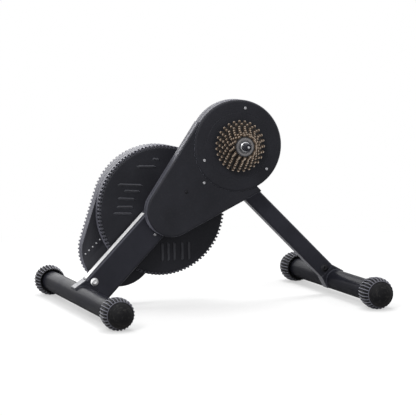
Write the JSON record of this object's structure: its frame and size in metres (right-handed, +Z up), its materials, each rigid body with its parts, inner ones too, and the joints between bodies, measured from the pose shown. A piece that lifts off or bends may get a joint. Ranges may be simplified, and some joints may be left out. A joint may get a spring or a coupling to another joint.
{
  "type": "direct-drive bike trainer",
  "caption": "Folding direct-drive bike trainer: slanted beam, belt cover with cassette, round flywheel housing behind, and a hinged front leg on wide stabiliser tubes.",
  "frame": {"origin": "on the floor, under the middle of the trainer's bounding box", "axes": "+X points forward along the bicycle, +Y points away from the drive side, +Z is up"},
  "size_m": [0.6664, 0.6768, 0.4576],
  "materials": {
    "black_paint": "satin black powder coat",
    "black_plastic": "fine-grained black",
    "black_rubber": "matt black",
    "dark_steel": "dark turned steel",
    "bright_steel": "bright zinc plate",
    "bronze_steel": "bronze-tinted steel",
    "aluminium": "turned",
    "cast_iron": "as cast, turned rim",
    "circuit_green": "solder mask"
  },
  "bodies": {
    "frame": {"main_beam": "black_paint", "axle_sleeve": "dark_steel", "bearing_sleeve": "dark_steel", "hinge_bracket": "black_paint", "hinge_bolt": "dark_steel", "rear_stabiliser": "black_paint", "rear_cross_bolt": "bright_steel", "rear_foot_near": "black_rubber", "rear_foot_far": "black_rubber", "cover_back_plate": "dark_steel", "belt_cover": "black_plastic", "disc_cover": "black_plastic", "belt_cover_screw_upper": "bright_steel", "belt_cover_screw_lower": "bright_steel", "disc_screw_top": "bright_steel", "disc_screw_rear": "bright_steel", "disc_screw_front": "bright_steel", "plate_screw": "dark_steel", "drum_bolt": "dark_steel", "drum_shell": "black_plastic", "far_shell": "black_plastic", "lobe_cover": "black_plastic", "housing_screw_front": "bright_steel", "housing_screw_top": "bright_steel", "housing_screw_rear": "bright_steel", "hollow_axle": "dark_steel", "axle_cap": "bright_steel", "hub_bearing": "dark_steel", "freehub_bearing": "dark_steel", "drive_belt": "black_rubber", "idler_arm": "dark_steel", "shaft_bearing_near": "dark_steel", "shaft_bearing_far": "dark_steel", "brake_mount": "aluminium", "brake_motor": "black_plastic", "circuit_board": "circuit_green", "power_inlet": "black_plastic", "skewer_rod": "bright_steel", "lever_base": "black_plastic"},
    "leg": {"front_leg": "black_paint", "front_stabiliser": "black_paint", "front_cross_bolt": "bright_steel", "front_foot_near": "black_rubber", "front_foot_far": "black_rubber"},
    "knob": {"hinge_knob": "black_plastic"},
    "flywheel_assembly": {"flywheel": "cast_iron", "flywheel_shaft": "dark_steel", "brake_disc": "aluminium", "small_pulley": "dark_steel"},
    "hub": {"drive_pulley": "black_plastic"},
    "freehub": {"freehub_body": "dark_steel", "cassette": "bronze_steel", "lockring": "bright_steel"},
    "idler": {"idler_roller": "black_plastic"},
    "carriage": {"magnet_carriage": "dark_steel", "magnets_near": "bright_steel", "magnets_far": "bright_steel"},
    "screw": {"lead_screw": "bright_steel"},
    "lever": {"skewer_lever": "bright_steel"},
    "nut": {"skewer_nut": "black_plastic"}
  },
  "joints": [
    {"name": "leg_fold", "type": "hinge", "parent": "frame", "child": "leg", "pos_m": [0.05213, 0, 0.29009], "axis": [0, 1, 0], "range_deg": [0, 80]},
    {"name": "leg_knob_turn", "type": "hinge", "parent": "frame", "child": "knob", "pos_m": [0.05213, 0.0196, 0.29009], "axis": [0, 1, 0], "range_deg": [0, 360]},
    {"name": "flywheel_spin", "type": "hinge", "parent": "frame", "child": "flywheel_assembly", "pos_m": [-0.10249, 0, 0.21251], "axis": [0, 1, 0], "continuous": true},
    {"name": "hub_spin", "type": "hinge", "parent": "frame", "child": "hub", "pos_m": [0.0565, -0.0304, 0.355], "axis": [0, 1, 0], "continuous": true},
    {"name": "freehub_spin", "type": "hinge", "parent": "hub", "child": "freehub", "pos_m": [0.0565, -0.0516, 0.355], "axis": [0, 1, 0], "continuous": true},
    {"name": "idler_spin", "type": "hinge", "parent": "frame", "child": "idler", "pos_m": [-0.04674, -0.0304, 0.21548], "axis": [0, 1, 0], "continuous": true},
    {"name": "carriage_slide", "type": "slide", "parent": "frame", "child": "carriage", "axis": [-0.7431, 0, -0.6691], "range_m": [0, 0.022]},
    {"name": "lead_screw_turn", "type": "hinge", "parent": "frame", "child": "screw", "pos_m": [-0.21991, 0.0622, 0.10679], "axis": [-0.7431, 0, -0.6691], "range_deg": [0, 990]},
    {"name": "lever_swing", "type": "hinge", "parent": "frame", "child": "lever", "pos_m": [0.0565, 0.0433, 0.355], "axis": [-0.9848, 0, -0.1736], "range_deg": [0, 150]},
    {"name": "nut_loosen", "type": "slide", "parent": "frame", "child": "nut", "axis": [0, -1, 0], "range_m": [0, 0.005]}
  ],
  "couplings": [
    {"joint": "hub_spin", "follows": "flywheel_spin", "ratio": 0.19079},
    {"joint": "idler_spin", "follows": "flywheel_spin", "ratio": -0.85044},
    {"joint": "lead_screw_turn", "follows": "carriage_slide", "rad_per_m": 785.4}
  ]
}
